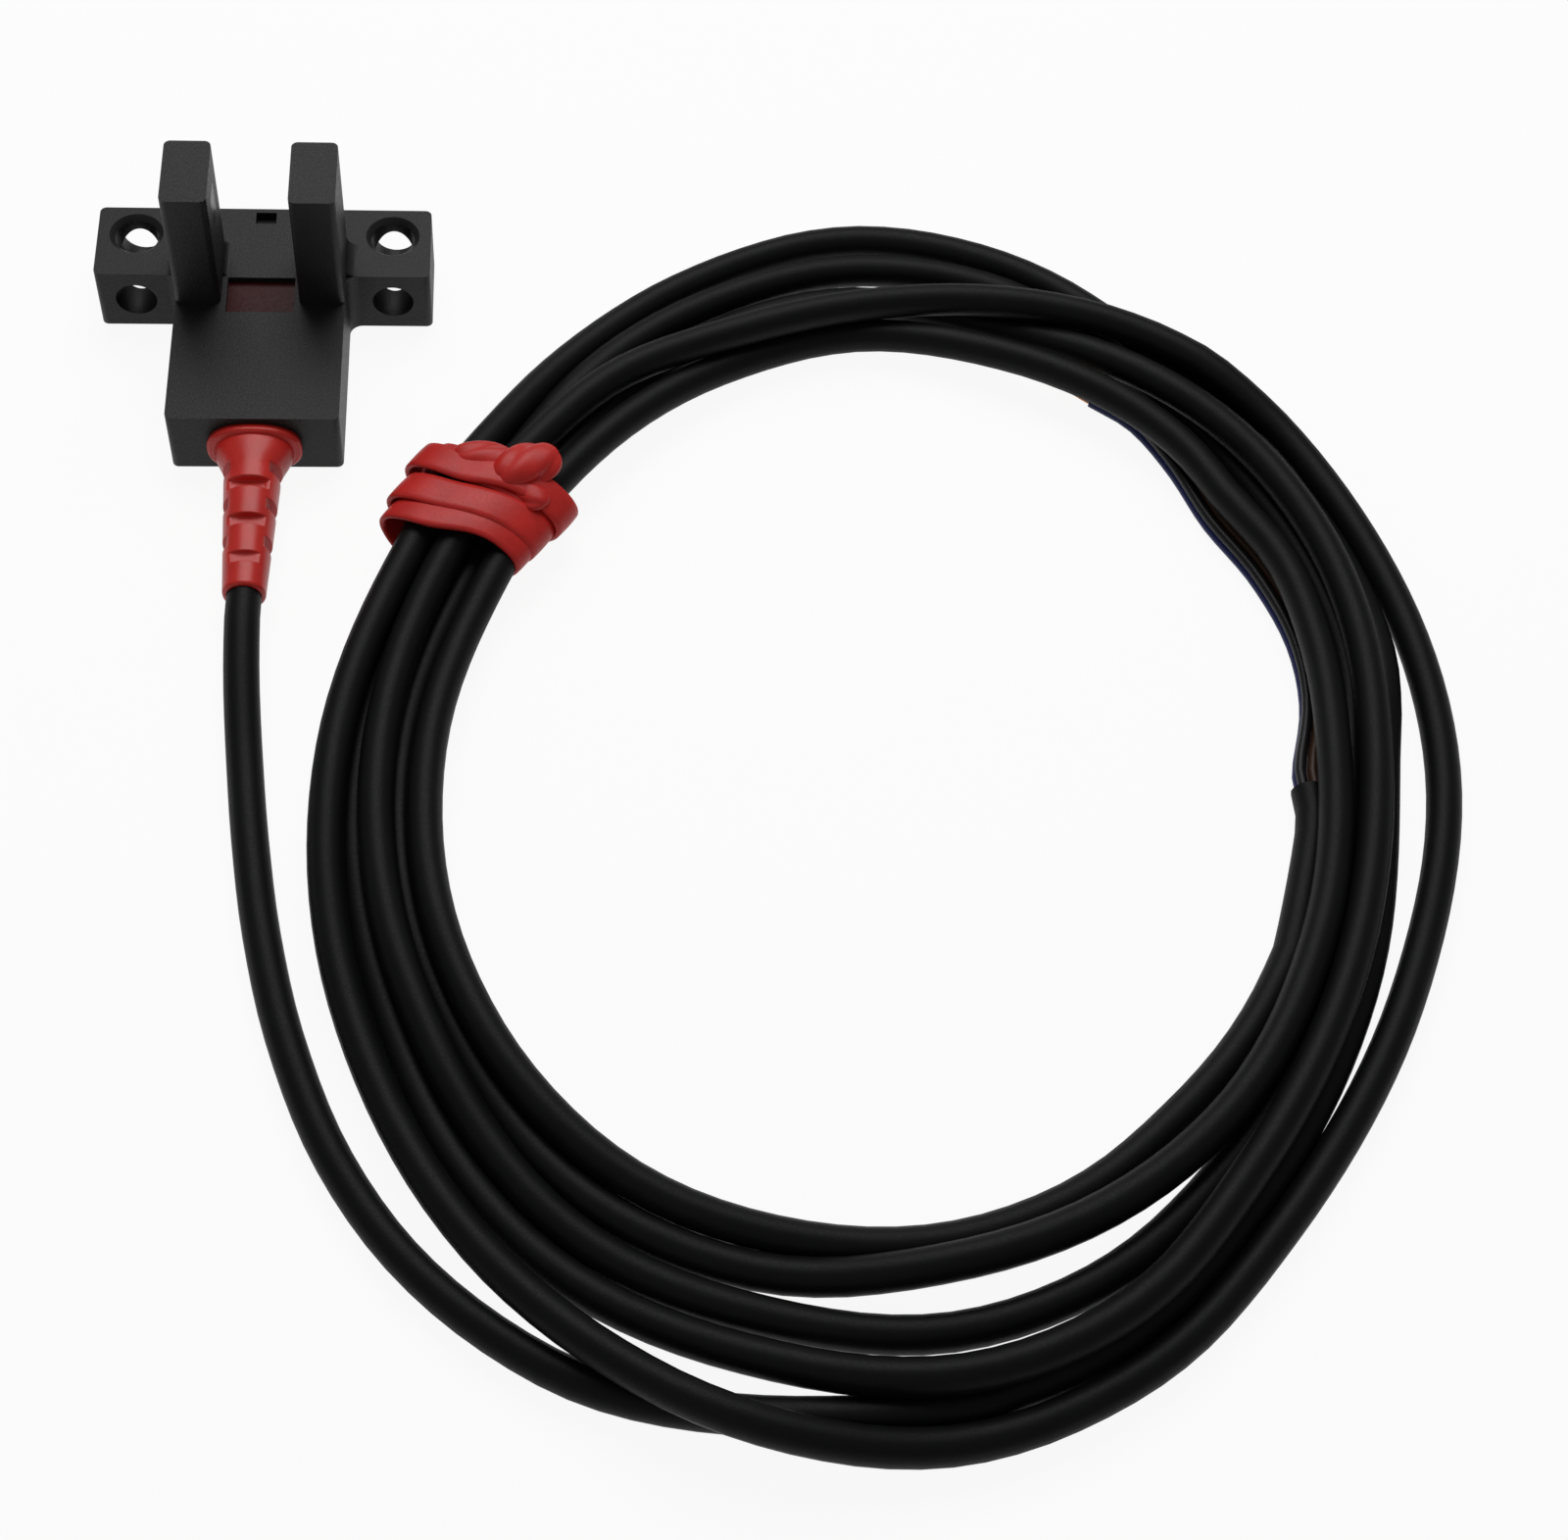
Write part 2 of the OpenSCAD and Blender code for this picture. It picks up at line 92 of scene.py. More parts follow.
# The lead's first stretch from the boot to the coil, in millimetres
TAIL = (
    (0, -33.5, 2.7), (0, -36, 2.7), (0.2, -41, 2.1), (0.7, -47, 1.4), (1.5, -54, 1.3), (2.7, -61.5, 1.3),
    (4.7, -69.5, 1.3), (8, -77.8, 1.3), (12.8, -85, 1.3), (19, -90.6, 1.3), (26, -94.3, 1.3), (35.3, -96, 1.3),
)
# The coil's turns from the near side round: angle, distance from the middle and height of each strand
COIL_MIDDLE = (47.2, -46.9)
TURNS = (
    ((-90, 49.0, 1.3), (-75, 46.1, 1.3), (-60, 41.6, 1.3), (-30, 36.4, 1.3), (0, 35.9, 1.3), (12, 38.0, 1.3),
     (30, 40.3, 1.3), (45, 42.4, 1.3), (60, 45.7, 1.3), (75, 49.7, 1.3), (90, 51.0, 1.3), (105, 48.2, 1.4),
     (120, 44.6, 1.5), (135, 41.0, 2.5), (150, 39.2, 3.3), (180, 40.0, 3.3), (210, 43.8, 2.4), (240, 49.7, 3.0),
     (255, 52.0, 3.8)),
    ((-90, 51.5, 1.8), (-75, 48.2, 1.4), (-60, 43.8, 1.3), (-30, 39.7, 1.3), (0, 40.3, 1.3), (30, 42.7, 1.4),
     (45, 44.4, 2.2), (52, 44.6, 3.4), (60, 44.6, 3.8), (75, 43.4, 3.8), (90, 41.4, 3.8), (105, 39.7, 3.8),
     (120, 39.3, 3.5), (135, 37.5, 3.5), (150, 36.5, 3.4), (180, 36.9, 3.3), (210, 39.6, 3.0), (240, 44.0, 1.5),
     (255, 44.2, 1.4)),
    ((-90, 44.1, 1.5), (-75, 41.9, 1.4), (-60, 38.6, 1.3), (-30, 33.8, 1.3), (0, 33.5, 1.3), (12, 35.4, 1.3),
     (30, 37.7, 1.3), (45, 39.8, 1.3), (60, 43.1, 1.3), (75, 46.9, 1.4), (90, 47.5, 1.6), (105, 45.1, 1.9),
     (120, 42.0, 2.1), (135, 38.9, 1.5), (150, 37.8, 1.3), (180, 38.4, 1.3), (210, 41.2, 1.3), (240, 46.5, 1.4),
     (255, 47.2, 1.8)),
    ((-90, 47.8, 3.0), (-75, 45.2, 3.3), (-60, 40.4, 3.4), (-30, 35.2, 3.5), (0, 34.8, 3.5), (15, 36.4, 3.5),
     (30, 38.4, 3.5), (45, 40.2, 3.5), (60, 41.4, 3.2), (75, 43.0, 1.4), (90, 44.2, 1.3), (105, 42.4, 1.3),
     (120, 38.9, 1.3), (135, 36.2, 1.3), (150, 34.9, 1.3), (180, 35.3, 1.3), (210, 37.6, 1.3), (240, 41.2, 1.3),
     (255, 41.2, 1.3)),
    ((-90, 40.1, 3.2), (-75, 38.4, 3.4), (-60, 36.4, 3.4), (-30, 32.6, 3.4), (0, 31.7, 3.4), (15, 33.0, 3.4),
     (30, 34.8, 3.2), (40, 35.4, 3.1), (48, 36.9, 3.1), (56, 37.9, 3.1), (64, 38.5, 3.1), (75, 39.3, 2.7),
     (90, 40.4, 1.8), (105, 38.6, 2.0), (120, 36.2, 2.8), (135, 34.2, 3.0), (150, 33.0, 2.6), (180, 33.7, 2.7),
     (210, 36.4, 2.9), (225, 38.0, 2.8), (240, 39.0, 2.1), (255, 38.7, 1.5)),
    ((-90, 37.9, 1.3), (-75, 36.1, 1.3), (-60, 33.7, 1.3), (-45, 32.2, 1.3), (-30, 31.1, 1.3)),
)
JACKET_END = ((76.9, -53.5, 1.3), (77.1, -50, 1.3))
LANE_STEP = 5.0  # degrees
LEAD_STEP = 2.0
LEAD_SPAN = 8

# How the strands move apart: rounds, reach in diameters, and per round the shares of an overlap and of a kink that
# go and the share of the shift that stays
SETTLE_ROUNDS = 150
SETTLE_REACH = 2.5
SETTLE_PUSH = 0.4
SETTLE_SMOOTH = 0.25
SETTLE_KEEP = 0.995
# Points of the line between two strands that count as different ones, and points that stay at the boot and the end
STRAND_APART = 12
FIXED_START, FIXED_END = 12, 3

# The tie: its place on the coil, and how high and how far round it the strands rise there
TIE_ANGLE = 144.5
TIE_LIFT = 0.6
TIE_REACH = 12
TIE_STRETCH = 3.2  # half the length of bundle that sets the tie's outline

# The four free cores: their shared route, where each one starts beside it and where it comes to lie
CORE_ROUTE = (
    (77.1, -50, 1.3), (77.2, -48, 1.2), (78.7, -42.2, 0.88), (78.5, -36.1, 0.88), (76.5, -30.0, 0.88),
    (73.6, -24.7, 0.88), (71.5, -19.3, 0.88), (68.9, -14.7, 0.88), (65.7, -12.0, 0.88),
)
CORES = (
    ("blue", (0.46, -0.46), (0.43, -0.43)),
    ("white", (-0.46, -0.46), (-0.43, -0.43)),
    ("black", (0.46, 0.46), (0.43, 0.43)),
    ("brown", (-0.46, 0.46), (-0.43, 0.43)),
)
CORE_STEP = 1.4
CORE_SPAN = 12
TIP_LENGTH = 5.0
TIP_WIDTH = 0.6  # share of the core's diameter
TIP_START = 0.3  # how far the bare wires start inside the sleeve


# Curves

def smooth_curve(points, per_span):
    """A smooth line through the points, with per_span steps between each two."""
    p = np.asarray(points, float)
    p = np.vstack([2 * p[0] - p[1], p, 2 * p[-1] - p[-2]])
    t = np.linspace(0, 1, per_span, endpoint=False)[:, None]
    spans = []
    for a, b, c, d in zip(p, p[1:], p[2:], p[3:]):
        spans.append(b + t / 2 * (c - a + t * (2 * a - 5 * b + 4 * c - d + t * (3 * (b - c) + d - a))))
    return np.vstack(spans + [p[-2:-1]])


def through_stations(stations, step):
    """Rows of angle and values at even angles, smooth through the stations."""
    angle, values = stations[:, 0], stations[:, 1:]
    slope = np.gradient(values, angle, axis=0)
    rows = []
    for i in range(len(angle) - 1):
        span = angle[i + 1] - angle[i]
        count = max(1, int(round(span / step)))
        for t in np.arange(count) / count:
            rise, fall = t * t * (3 - 2 * t), t * (1 - t)
            value = values[i] * (1 - rise) + values[i + 1] * rise
            value = value + span * fall * ((1 - t) * slope[i] - t * slope[i + 1])
            rows.append([angle[i] + t * span, *value])
    rows.append(stations[-1])
    return np.array(rows)


def even_points(points, step):
    """The same line with points at even distances of about one step."""
    along = np.concatenate([[0], np.cumsum(np.linalg.norm(np.diff(points, axis=0), axis=1))])
    at = np.linspace(0, along[-1], int(round(along[-1] / step)) + 1)
    return np.stack([np.interp(at, along, points[:, k]) for k in range(3)], 1)


def wound_lead():
    """The lead's line from the boot through all the turns to the jacket's end, before it settles."""
    lanes = np.array([(angle + 360 * k, r, z) for k, turn in enumerate(TURNS) for angle, r, z in turn], float)
    polar = through_stations(lanes, LANE_STEP)
    turn = np.radians(polar[:, 0])
    from_tie = (polar[:, 0] - TIE_ANGLE + 180) % 360 - 180
    lift = TIE_LIFT * np.exp(-(from_tie / TIE_REACH) ** 2)
    coil = np.stack([
        COIL_MIDDLE[0] + polar[:, 1] * np.cos(turn),
        COIL_MIDDLE[1] + polar[:, 1] * np.sin(turn),
        polar[:, 2] + lift,
    ], 1)
    return even_points(smooth_curve(np.vstack([TAIL, coil, JACKET_END]), LEAD_SPAN), LEAD_STEP)


def settled_lead(diameter):
    """The wound line with its strands moved apart where they lie in each other."""
    home = wound_lead()
    order = np.arange(len(home))
    gap = np.linalg.norm(home[:, None] - home[None], axis=2)
    near = gap < SETTLE_REACH * diameter
    first, second = np.nonzero(near & (np.subtract.outer(order, order) > STRAND_APART))
    shift = np.zeros_like(home)
    floor = diameter / 2 - home[:, 2]
    for _ in range(SETTLE_ROUNDS):
        place = home + shift
        apart = place[first] - place[second]
        far = np.maximum(np.linalg.norm(apart, axis=1), 1e-6)
        push = apart * (np.maximum(diameter - far, 0) / far)[:, None] * SETTLE_PUSH
        np.add.at(shift, first, push)
        np.add.at(shift, second, -push)
        shift[:, 2] = np.maximum(shift[:, 2], floor)
        shift[1:-1] += SETTLE_SMOOTH * (shift[:-2] + shift[2:] - 2 * shift[1:-1])
        shift *= SETTLE_KEEP
        shift[:FIXED_START] = 0
        shift[-FIXED_END:] = 0
    return home + shift


# Pieces

def add_object(name, data, finish, slot, *nodes):
    """A piece on the one body, in its finish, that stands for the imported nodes."""
    piece = bpy.data.objects.new(name, data)
    bpy.context.scene.collection.objects.link(piece)
    data.materials.append(finish)
    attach(piece, "root")
    if nodes:
        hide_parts(*nodes)
    return piece


def mesh_piece(name, points, faces, finish, slot, *nodes):
    """A smooth mesh in millimetres as a piece of the sensor."""
    mesh = bpy.data.meshes.new(name)
    mesh.from_pydata([Vector(p) * MM for p in points], [], faces)
    mesh.polygons.foreach_set("use_smooth", [True] * len(mesh.polygons))
    bm = bmesh.new()
    bm.from_mesh(mesh)
    bmesh.ops.recalc_face_normals(bm, faces=bm.faces)
    bm.to_mesh(mesh)
    bm.free()
    return add_object(name, mesh, finish, slot, *nodes)


def cord_piece(name, points, diameter, roundness, finish, slot, *nodes):
    """A round cord as a curve along the points, in millimetres."""
    curve = bpy.data.curves.new(name, "CURVE")
    curve.dimensions = "3D"
    curve.bevel_depth = diameter * MM / 2
    curve.bevel_resolution = roundness
    curve.use_fill_caps = True
    spline = curve.splines.new("POLY")
    spline.points.add(len(points) - 1)
    spline.points.foreach_set("co", np.hstack([np.asarray(points) * MM, np.ones((len(points), 1))]).ravel())
    spline.use_smooth = True
    return add_object(name, curve, finish, slot, *nodes)


def lofted(rings, closed=False):
    """Faces that join rings of equally many points, with both ends filled unless the loft is closed."""
    count, sides = len(rings), len(rings[0])
    faces = []
    for i in range(count if closed else count - 1):
        j = (i + 1) % count
        for k in range(sides):
            m = (k + 1) % sides
            faces.append((i * sides + k, i * sides + m, j * sides + m, j * sides + k))
    if not closed:
        faces.append(tuple(range(sides)))
        faces.append(tuple((count - 1) * sides + k for k in reversed(range(sides))))
    return [p for ring in rings for p in ring], faces


def joined(lofts):
    """Points and faces of several lofts as those of one mesh."""
    points, faces = [], []
    for loft_points, loft_faces in lofts:
        base = len(points)
        points += loft_points
        faces += [tuple(base + v for v in face) for face in loft_faces]
    return points, faces


# Finishes

SOCKETS = {"metallic": "Metallic", "specular": "Specular IOR Level", "transmission": "Transmission Weight"}
NOISE_SPAN = (0.3, 0.7)


def node(tree, kind, **values):
    """A new node with its sockets or settings given by name."""
    made = tree.nodes.new(kind)
    for name, value in values.items():
        if name in made.inputs:
            made.inputs[name].default_value = value
        else:
            setattr(made, name, value)
    return made


def grained_finish(name, colour, mottle, mottle_size, grain_size, rough, bump, **surface):
    """A surface whose colour drifts over mottle_size millimetres and whose gloss and bump follow a fine grain."""
    finish = bpy.data.materials.new(name)
    finish.use_nodes = True
    tree = finish.node_tree
    shader = tree.nodes["Principled BSDF"]
    for socket, value in surface.items():
        shader.inputs[SOCKETS[socket]].default_value = value
    place = node(tree, "ShaderNodeTexCoord").outputs["Object"]
    drift = node(tree, "ShaderNodeTexNoise", Scale=1 / (mottle_size * MM), Detail=4.0, Roughness=0.6)
    grain = node(tree, "ShaderNodeTexNoise", Scale=1 / (grain_size * MM), Detail=3.0, Roughness=0.55)
    tree.links.new(place, drift.inputs["Vector"])
    tree.links.new(place, grain.inputs["Vector"])
    tint = node(tree, "ShaderNodeValToRGB")
    low, high = tint.color_ramp.elements
    low.position, high.position = NOISE_SPAN
    low.color = [c * (1 - mottle) for c in colour] + [1]
    high.color = [min(1, c * (1 + mottle)) for c in colour] + [1]
    tree.links.new(drift.outputs["Fac"], tint.inputs["Fac"])
    tree.links.new(tint.outputs["Color"], shader.inputs["Base Color"])
    gloss = node(tree, "ShaderNodeMapRange")
    gloss.inputs["To Min"].default_value, gloss.inputs["To Max"].default_value = rough
    gloss.inputs["From Min"].default_value, gloss.inputs["From Max"].default_value = NOISE_SPAN
    tree.links.new(grain.outputs["Fac"], gloss.inputs["Value"])
    tree.links.new(gloss.outputs["Result"], shader.inputs["Roughness"])
    relief = node(tree, "ShaderNodeBump", Strength=bump, Distance=grain_size * MM)
    tree.links.new(grain.outputs["Fac"], relief.inputs["Height"])
    tree.links.new(relief.outputs["Normal"], shader.inputs["Normal"])
    return finish


def dress(name, finish):
    """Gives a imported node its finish."""
    mesh = NODES[name].data
    mesh.materials.clear()
    mesh.materials.append(finish)


# Settings

class HousingSettings(bpy.types.PropertyGroup):
    """The moulded housing and its cover"""
    colour: bpy.props.FloatVectorProperty(
        name="Housing colour", description="Colour of the moulded housing", subtype="COLOR", size=3,
        default=(0.0115, 0.0115, 0.012))
    edge_radius: bpy.props.FloatProperty(
        name="Edge radius", description="Rounding of the housing's outer edges", default=0.00018, unit="LENGTH",
        precision=5)
    lens_colour: bpy.props.FloatVectorProperty(
        name="Lens colour", description="Colour of the indicator lens", subtype="COLOR", size=3,
        default=(0.042, 0.006, 0.007))


class BootSettings(bpy.types.PropertyGroup):
    """The strain relief at the housing's front"""
    colour: bpy.props.FloatVectorProperty(
        name="Boot colour", description="Colour of the soft strain relief", subtype="COLOR", size=3,
        default=(0.52, 0.02, 0.014))
    dome_width: bpy.props.FloatProperty(
        name="Dome width", description="Width of the dome next to the rim", default=0.006, unit="LENGTH",
        precision=4)
    stem_start: bpy.props.FloatProperty(
        name="Stem width at the dome", description="Width of the stem where the dome ends", default=0.0043,
        unit="LENGTH", precision=4)
    stem_end: bpy.props.FloatProperty(
        name="Stem width at the lead", description="Width of the stem at the lead", default=0.0032,
        unit="LENGTH", precision=4)


class LeadSettings(bpy.types.PropertyGroup):
    """The lead, its tie and its four cores"""
    diameter: bpy.props.FloatProperty(
        name="Lead diameter", description="Outside diameter of the jacket", default=0.0026, unit="LENGTH",
        precision=4)
    colour: bpy.props.FloatVectorProperty(
        name="Jacket colour", description="Colour of the lead's jacket", subtype="COLOR", size=3,
        default=(0.0042, 0.0044, 0.0045))
    tie_colour: bpy.props.FloatVectorProperty(
        name="Tie colour", description="Colour of the tie round the coil", subtype="COLOR", size=3,
        default=(0.5, 0.018, 0.014))
    core_diameter: bpy.props.FloatProperty(
        name="Core diameter", description="Outside diameter of one insulated core", default=0.00085,
        unit="LENGTH", precision=5)


class StageSettings(bpy.types.PropertyGroup):
    """Floor and light"""
    floor_colour: bpy.props.FloatVectorProperty(
        name="Floor colour", description="Colour of the floor under the part", subtype="COLOR", size=3,
        default=(0.9, 0.9, 0.9))
    key_power: bpy.props.FloatProperty(
        name="Key lamp", description="Power of the broad lamp above and behind the part", default=0.62,
        unit="POWER")
    fill_power: bpy.props.FloatProperty(
        name="Fill lamp", description="Power of the lamp on the near side", default=0.025, unit="POWER")
    sky: bpy.props.FloatProperty(
        name="Room light", description="Strength of the even light from all round", default=0.23)


class ForkSensorSettings(bpy.types.PropertyGroup):
    """All settings of the fork sensor"""
    housing: bpy.props.PointerProperty(type=HousingSettings)
    boot: bpy.props.PointerProperty(type=BootSettings)
    lead: bpy.props.PointerProperty(type=LeadSettings)
    stage: bpy.props.PointerProperty(type=StageSettings)


# Operators

class FORKSENSOR_OT_stage(bpy.types.Operator):
    """Sets up the floor, the lamps and the camera"""
    bl_idname = "fork_sensor.stage"
    bl_label = "Stage"

    def execute(self, context):
        settings = context.scene.fork_sensor.stage
        context.scene.view_settings.view_transform = "Standard"
        self.add_floor(settings)
        self.add_lamp("key_lamp", settings.key_power, *KEY_LAMP)
        self.add_lamp("fill_lamp", settings.fill_power, *FILL_LAMP)
        self.add_room(context, settings)
        self.add_camera(context)
        return {"FINISHED"}

    def add_floor(self, settings):
        """A white floor that shows almost shadowless where it is looked at or mirrored."""
        mesh = bpy.data.meshes.new("floor")
        corners = [(x * FLOOR_HALF, y * FLOOR_HALF, 0) for x, y in ((-1, -1), (1, -1), (1, 1), (-1, 1))]
        mesh.from_pydata(corners, [], [(0, 1, 2, 3)])
        floor = bpy.data.objects.new("floor", mesh)
        bpy.context.scene.collection.objects.link(floor)
        floor.location.z = -FLOOR_DROP
        finish = bpy.data.materials.new("floor_white")
        finish.use_nodes = True
        tree = finish.node_tree
        tree.nodes.remove(tree.nodes["Principled BSDF"])
        out = tree.nodes["Material Output"]
        card = node(tree, "ShaderNodeBsdfDiffuse", Color=(*settings.floor_colour, 1))
        glow = node(tree, "ShaderNodeEmission", Color=(1, 1, 1, 1), Strength=1.0)
        path = node(tree, "ShaderNodeLightPath")
        seen = node(tree, "ShaderNodeMath", operation="MAXIMUM")
        clear = node(tree, "ShaderNodeMath", operation="MAXIMUM")
        share = node(tree, "ShaderNodeMath", operation="MULTIPLY")
        share.inputs[1].default_value = FLOOR_GLOW
        mix = node(tree, "ShaderNodeMixShader")
        tree.links.new(path.outputs["Is Camera Ray"], seen.inputs[0])
        tree.links.new(path.outputs["Is Glossy Ray"], seen.inputs[1])
        tree.links.new(seen.outputs[0], clear.inputs[0])
        tree.links.new(path.outputs["Is Transmission Ray"], clear.inputs[1])
        tree.links.new(clear.outputs[0], share.inputs[0])
        tree.links.new(share.outputs[0], mix.inputs["Fac"])
        tree.links.new(card.outputs[0], mix.inputs[1])
        tree.links.new(glow.outputs[0], mix.inputs[2])
        tree.links.new(mix.outputs[0], out.inputs["Surface"])
        mesh.materials.append(finish)

    def add_lamp(self, name, power, place, size):
        """A square lamp that points at the middle of the picture."""
        lamp = bpy.data.lights.new(name, "AREA")
        lamp.energy = power
        lamp.size = size * MM
        holder = bpy.data.objects.new(name, lamp)
        holder.location = Vector(place) * MM
        aim = (CAMERA_AIM - Vector(place)).normalized()
        holder.rotation_mode = "QUATERNION"
        holder.rotation_quaternion = aim.to_track_quat("-Z", "Y")
        bpy.context.scene.collection.objects.link(holder)

    def add_room(self, context, settings):
        """Even light from all round."""
        world = bpy.data.worlds.new("room")
        world.use_nodes = True
        back = world.node_tree.nodes["Background"]
        back.inputs["Color"].default_value = (1, 1, 1, 1)
        back.inputs["Strength"].default_value = settings.sky
        context.scene.world = world

    def add_camera(self, context):
        """The camera where the photo was taken from."""
        lens = bpy.data.cameras.new("photo_camera")
        lens.sensor_fit = "HORIZONTAL"
        lens.sensor_width = SENSOR_WIDTH
        lens.lens = SENSOR_WIDTH * CAMERA_REACH / PICTURE[0]
        lens.clip_start, lens.clip_end = CAMERA_CLIP
        camera = bpy.data.objects.new("photo_camera", lens)
        back = (CAMERA_AT - CAMERA_AIM).normalized()
        level = Vector((0, 0, 1)).cross(back).normalized()
        rise = back.cross(level)
        right = math.cos(CAMERA_ROLL) * level + math.sin(CAMERA_ROLL) * rise
        up = math.cos(CAMERA_ROLL) * rise - math.sin(CAMERA_ROLL) * level
        camera.matrix_world = Matrix.Translation(CAMERA_AT * MM) @ Matrix((right, up, back)).transposed().to_4x4()
        context.scene.collection.objects.link(camera)
        context.scene.camera = camera


class FORKSENSOR_OT_housing(bpy.types.Operator):
    """Rounds the edges of the moulded housing and finishes it and its cover"""
    bl_idname = "fork_sensor.housing"
    bl_label = "Housing"

    MERGE_DISTANCE = 2e-6  # metres
    FLAT_ANGLE, EDGE_ANGLE = 1, 35  # degrees
    EDGE_SEGMENTS = 3

    def execute(self, context):
        settings = context.scene.fork_sensor.housing
        black = grained_finish("housing_black", settings.colour, mottle=0.12, mottle_size=4, grain_size=0.16,
                               rough=(0.42, 0.58), bump=0.22, specular=0.24)
        mesh = NODES["housing"].data.copy()
        bm = bmesh.new()
        bm.from_mesh(mesh)
        bmesh.ops.remove_doubles(bm, verts=bm.verts, dist=self.MERGE_DISTANCE)
        bmesh.ops.dissolve_limit(bm, angle_limit=math.radians(self.FLAT_ANGLE), verts=bm.verts, edges=bm.edges)
        for face in bm.faces:
            face.smooth = True
        bm.to_mesh(mesh)
        bm.free()
        mesh.materials.clear()
        housing = add_object("housing_shell", mesh, black, "housing_black", "housing")
        edges = housing.modifiers.new("soft_edges", "BEVEL")
        edges.width = settings.edge_radius
        edges.segments = self.EDGE_SEGMENTS
        edges.limit_method = "ANGLE"
        edges.angle_limit = math.radians(self.EDGE_ANGLE)
        edges.use_clamp_overlap = True
        flats = housing.modifiers.new("even_faces", "WEIGHTED_NORMAL")
        flats.weight = 100
        flats.keep_sharp = True
        dress("bottom_cover", grained_finish("cover_black", settings.colour, mottle=0.15, mottle_size=5, grain_size=0.2,
                                             rough=(0.45, 0.62), bump=0.2))
        return {"FINISHED"}


class FORKSENSOR_OT_optics(bpy.types.Operator):
    """Finishes the lens, the two windows, the light parts in the arms and the bare metal inside"""
    bl_idname = "fork_sensor.optics"
    bl_label = "Optics"

    def execute(self, context):
        settings = context.scene.fork_sensor.housing
        dress("indicator_lens", grained_finish("lens_red", settings.lens_colour, mottle=0.1, mottle_size=1.5,
                                               grain_size=0.25, rough=(0.28, 0.4), bump=0.05, specular=0.07))
        window = grained_finish("window_dark", (0.02, 0.008, 0.012), mottle=0.1, mottle_size=1, grain_size=0.3,
                                rough=(0.26, 0.36), bump=0.03, specular=0.12)
        dress("emitter_window", window)
        dress("receiver_window", window)
        dress("emitter", grained_finish("emitter_resin", (0.55, 0.42, 0.5), mottle=0.1, mottle_size=1, grain_size=0.2,
                                        rough=(0.1, 0.25), bump=0.05, transmission=0.4))
        dress("receiver", grained_finish("receiver_resin", (0.02, 0.015, 0.02), mottle=0.1, mottle_size=1,
                                         grain_size=0.2, rough=(0.1, 0.25), bump=0.05))
        metal = grained_finish("tinned_metal", (0.72, 0.71, 0.68), mottle=0.1, mottle_size=0.6, grain_size=0.08,
                               rough=(0.22, 0.4), bump=0.1, metallic=1.0)
        for name in ("emitter_lead_a", "emitter_lead_b", "receiver_lead_a", "receiver_lead_b", "cable_anchor"):
            dress(name, metal)
        return {"FINISHED"}


class FORKSENSOR_OT_circuit(bpy.types.Operator):
    """Finishes the circuit board and the parts on it"""
    bl_idname = "fork_sensor.circuit"
    bl_label = "Circuit"

    def execute(self, context):
        dress("circuit_board", grained_finish("board_green", (0.02, 0.13, 0.05), mottle=0.3, mottle_size=0.9,
                                              grain_size=0.1, rough=(0.25, 0.4), bump=0.1))
        chip = grained_finish("chip_black", (0.02, 0.02, 0.022), mottle=0.2, mottle_size=0.5, grain_size=0.06,
                              rough=(0.5, 0.7), bump=0.2)
        for name in ("amplifier_chip", "output_transistor"):
            dress(name, chip)
        ceramic = grained_finish("ceramic_tan", (0.45, 0.33, 0.2), mottle=0.15, mottle_size=0.4, grain_size=0.05,
                                 rough=(0.4, 0.6), bump=0.15)
        for name in ("capacitor", "resistor_a", "resistor_b", "resistor_c"):
            dress(name, ceramic)
        dress("indicator_light", grained_finish("light_body", (0.8, 0.75, 0.6), mottle=0.08, mottle_size=0.3,
                                                grain_size=0.05, rough=(0.15, 0.3), bump=0.05, transmission=0.3))
        return {"FINISHED"}


